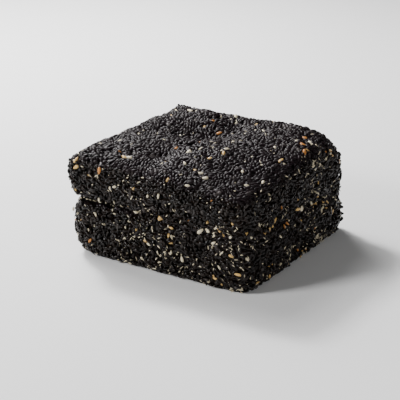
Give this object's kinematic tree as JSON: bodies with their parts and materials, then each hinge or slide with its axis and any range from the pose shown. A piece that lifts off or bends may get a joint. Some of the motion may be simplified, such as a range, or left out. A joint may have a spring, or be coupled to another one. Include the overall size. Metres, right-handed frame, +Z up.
{
  "type": "sesame candy sheet",
  "caption": "Thick square block of pressed black sesame candy, one hand-pressed sheet on another, crunchy all over with whole seeds.",
  "frame": {"origin": "middle of the flat base of the block, at table height", "axes": "+Z up out of the pressed top, +X along the slightly longer side of the block, towards the right when the long wall is seen from the front"},
  "size_m": [0.1038, 0.1016, 0.0535],
  "materials": {
    "black_sesame": "satin"
  },
  "bodies": {
    "root": {"lower_sheet": "black_sesame", "upper_sheet": "black_sesame"}
  },
  "joints": []
}
